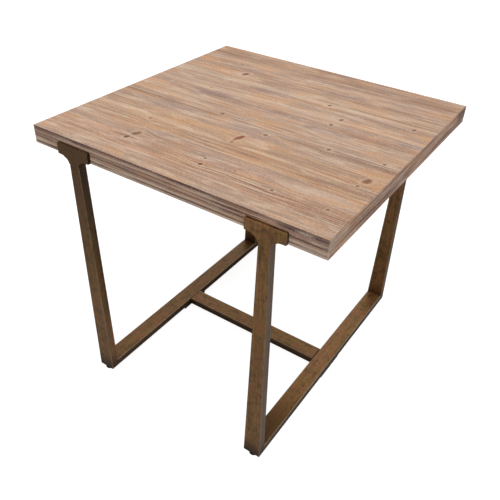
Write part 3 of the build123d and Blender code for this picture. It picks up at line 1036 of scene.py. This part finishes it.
# Each ramp: (axis, from, to, brightness at from, brightness at to) of the sky's direction.
SKY_RAMPS = (("Y", -0.4, 0.8, 0.26, 1.0), ("Z", 0.35, 1.0, 1.0, 0.65))
KEY_FROM = (0.17, -0.42, 0.88)
KEY_STRENGTH = 1.9
KEY_ANGLE = 32


def make_camera():
    data = bpy.data.cameras.new("camera")
    data.lens = CAMERA_LENS
    data.sensor_width = 36.0
    camera = bpy.data.objects.new("camera", data)
    bpy.context.scene.collection.objects.link(camera)
    azimuth, elevation = math.radians(CAMERA_AZIMUTH), math.radians(CAMERA_ELEVATION)
    back = Vector((
        math.sin(azimuth) * math.cos(elevation),
        -math.cos(azimuth) * math.cos(elevation),
        math.sin(elevation),
    ))
    camera.location = Vector((0.0, 0.0, TOP_Z)) + CAMERA_FROM_TOP
    camera.rotation_mode = "QUATERNION"
    roll = Quaternion((0, 0, 1), math.radians(CAMERA_ROLL))
    camera.rotation_quaternion = (-back).to_track_quat("-Z", "Y") @ roll
    bpy.context.scene.camera = camera


def stage_object(name, bm, material, seen, lit):
    """A floor or dome, seen by the camera or lit and mirrored by the table, or both."""
    mesh = bpy.data.meshes.new(name)
    bm.to_mesh(mesh)
    bm.free()
    mesh.materials.append(material)
    made = bpy.data.objects.new(name, mesh)
    bpy.context.scene.collection.objects.link(made)
    made.visible_camera = seen
    made.visible_diffuse = lit
    made.visible_glossy = lit
    made.visible_transmission = lit
    made.visible_shadow = False


def floor_material(name, albedo, glow):
    """A matt grey that also glows white."""
    g = Graph(name)
    drift = g.noise(g.combine(*g.coordinates()), detail=2.0, scale=1.5)
    darker = albedo * 0.97
    return g.finish(
        Base_Color=g.mix(drift, (albedo, albedo, albedo, 1), (darker, darker, darker, 1)),
        Roughness=0.9,
        Specular_IOR_Level=0.1,
        Emission_Color=STAGE_WHITE,
        Emission_Strength=glow,
    )


def make_floor():
    """A white floor under the camera's view, a grey one that lights the table, and a white dome."""
    for name, z, albedo, glow, seen in FLOORS:
        bm = bmesh.new()
        bmesh.ops.create_circle(bm, cap_ends=True, segments=96, radius=STAGE_RADIUS)
        bmesh.ops.translate(bm, verts=bm.verts, vec=(0, 0, z))
        stage_object(name, bm, floor_material(name, albedo, glow), seen, not seen)
    bm = bmesh.new()
    bmesh.ops.create_uvsphere(bm, u_segments=64, v_segments=32, radius=STAGE_RADIUS * 1.02)
    stage_object("dome", bm, floor_material("dome", 0.0, DOME_GLOW), True, False)


def make_lights():
    """A wide key from the front and above, and a sky that is brightest behind the table."""
    world = bpy.data.worlds.new("studio")
    bpy.context.scene.world = world
    world.use_nodes = True
    tree = world.node_tree
    place = tree.nodes.new("ShaderNodeTexCoord")
    parts = tree.nodes.new("ShaderNodeSeparateXYZ")
    tree.links.new(place.outputs["Generated"], parts.inputs[0])
    ramps = []
    for axis, low, high, at_low, at_high in SKY_RAMPS:
        ramp = tree.nodes.new("ShaderNodeMapRange")
        ramp.interpolation_type = "SMOOTHSTEP"
        levels = {"From Min": low, "From Max": high, "To Min": at_low, "To Max": at_high}
        for key, value in levels.items():
            ramp.inputs[key].default_value = value
        tree.links.new(parts.outputs[axis], ramp.inputs["Value"])
        ramps.append(ramp.outputs["Result"])
    product = tree.nodes.new("ShaderNodeMath")
    product.operation = "MULTIPLY"
    tree.links.new(ramps[0], product.inputs[0])
    tree.links.new(ramps[1], product.inputs[1])
    tree.links.new(product.outputs[0], tree.nodes["Background"].inputs["Strength"])
    tree.nodes["Background"].inputs["Color"].default_value = STAGE_WHITE

    data = bpy.data.lights.new("key", "SUN")
    data.energy = KEY_STRENGTH
    data.angle = math.radians(KEY_ANGLE)
    key = bpy.data.objects.new("key", data)
    bpy.context.scene.collection.objects.link(key)
    key.rotation_mode = "QUATERNION"
    key.rotation_quaternion = (-Vector(KEY_FROM)).to_track_quat("-Z", "Y")


def main():
    bpy.context.scene.view_settings.view_transform = "Standard"
    bronze = {axis: [bronze_material(axis, finish) for finish in FINISHES] for axis in "xyz"}
    black = coated_material(
        "satin_black", rgb(22, 21, 20), rgb(34, 32, 30),
        roughness=0.45, metallic=0.0, scale=900, gloss=0.2,
    )
    zinc = coated_material(
        "zinc_plate", rgb(150, 150, 146), rgb(176, 176, 170),
        roughness=0.35, metallic=0.9, scale=1200, gloss=0.5,
    )
    nylon = coated_material(
        "black_nylon", rgb(12, 12, 12), rgb(22, 21, 20),
        roughness=0.55, metallic=0.0, scale=1400, gloss=0.1,
    )
    for index, node in enumerate(STAVES):
        make_stave(node, index)
    for index, name in enumerate(("front", "right", "back", "left")):
        make_edge_board(name, EDGE_SEED + EDGE_SEED_STEP * index)
    batten_wood = wood_material("batten_wood", BATTEN_LOOK, "y")
    for name in ("left", "middle", "right"):
        dress_node(f"batten_{name}", batten_wood, EASED_WOOD)
    for side_name, side in SIDES.items():
        for end_name in ENDS:
            make_leg(end_name, side_name, bronze["z"])
            make_foot(f"{end_name}_{side_name}", nylon, zinc)
        low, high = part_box(f"rail_{side_name}")
        make_bar(
            f"frame_rail_{side_name}", LEG_DEPTH, low, high, 1, bronze["y"],
            [f"rail_{side_name}"],
        )
        dress_node(f"top_bar_{side_name}", black, EASED_BAR)
        dress_node(f"junction_plate_{side_name}", black, EASED_PLATE)
    make_bar(
        "frame_stretcher", STRETCHER_SEAM, STRETCHER_LOW, STRETCHER_HIGH, 0, bronze["x"],
        ["stretcher"],
    )
    for name in ("batten_screws", "bar_screws", "junction_screws", "junction_nuts", "foot_inserts"):
        dress_node(name, zinc)
    make_camera()
    make_floor()
    make_lights()


main()
